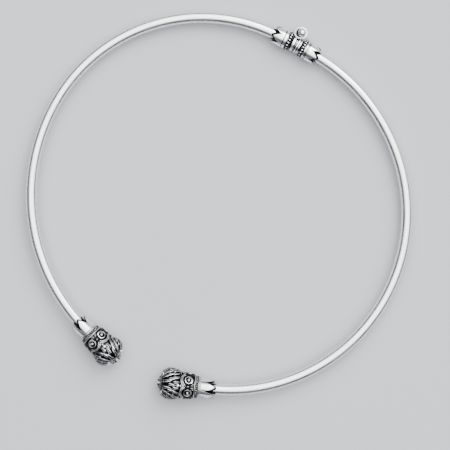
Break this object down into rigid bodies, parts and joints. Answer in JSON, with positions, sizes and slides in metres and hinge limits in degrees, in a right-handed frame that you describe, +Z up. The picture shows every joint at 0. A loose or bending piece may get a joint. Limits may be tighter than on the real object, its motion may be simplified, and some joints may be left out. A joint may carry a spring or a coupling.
{
  "type": "hinged neck torc with lion-head terminals",
  "caption": "Rigid silver neck ring in two round-bar halves, hinged at the back, with leaf collars, scrollwork cuffs and lion heads facing across the open front.",
  "frame": {"origin": "centre of the bounding box on the surface that the torc lies on", "axes": "+Z up, square to the surface; +Y toward the hinge at the back; -Y toward the open front; +X to the right seen from above with the hinge away from the viewer"},
  "size_m": [0.143, 0.1436, 0.0112],
  "materials": {
    "polished_silver": "polished",
    "darkened_silver": "polished ridges over blackened recesses"
  },
  "bodies": {
    "left_half": {"left_hoop": "polished_silver", "left_hinge_cap": "polished_silver", "left_bead_ring": "darkened_silver", "left_hinge_leaves": "polished_silver", "left_terminal_leaves": "polished_silver", "left_cuff": "darkened_silver", "left_lion_head": "darkened_silver", "hinge_pin": "polished_silver"},
    "right_half": {"right_hoop": "polished_silver", "right_hinge_cap": "polished_silver", "right_bead_ring": "darkened_silver", "right_hinge_leaves": "polished_silver", "right_terminal_leaves": "polished_silver", "right_cuff": "darkened_silver", "right_lion_head": "darkened_silver"}
  },
  "joints": [
    {"name": "back_hinge", "type": "hinge", "parent": "left_half", "child": "right_half", "pos_m": [-0.00255, 0.06958, 0.00354], "axis": [0, 0.0138, 0.9999], "range_deg": [0, 90]}
  ]
}
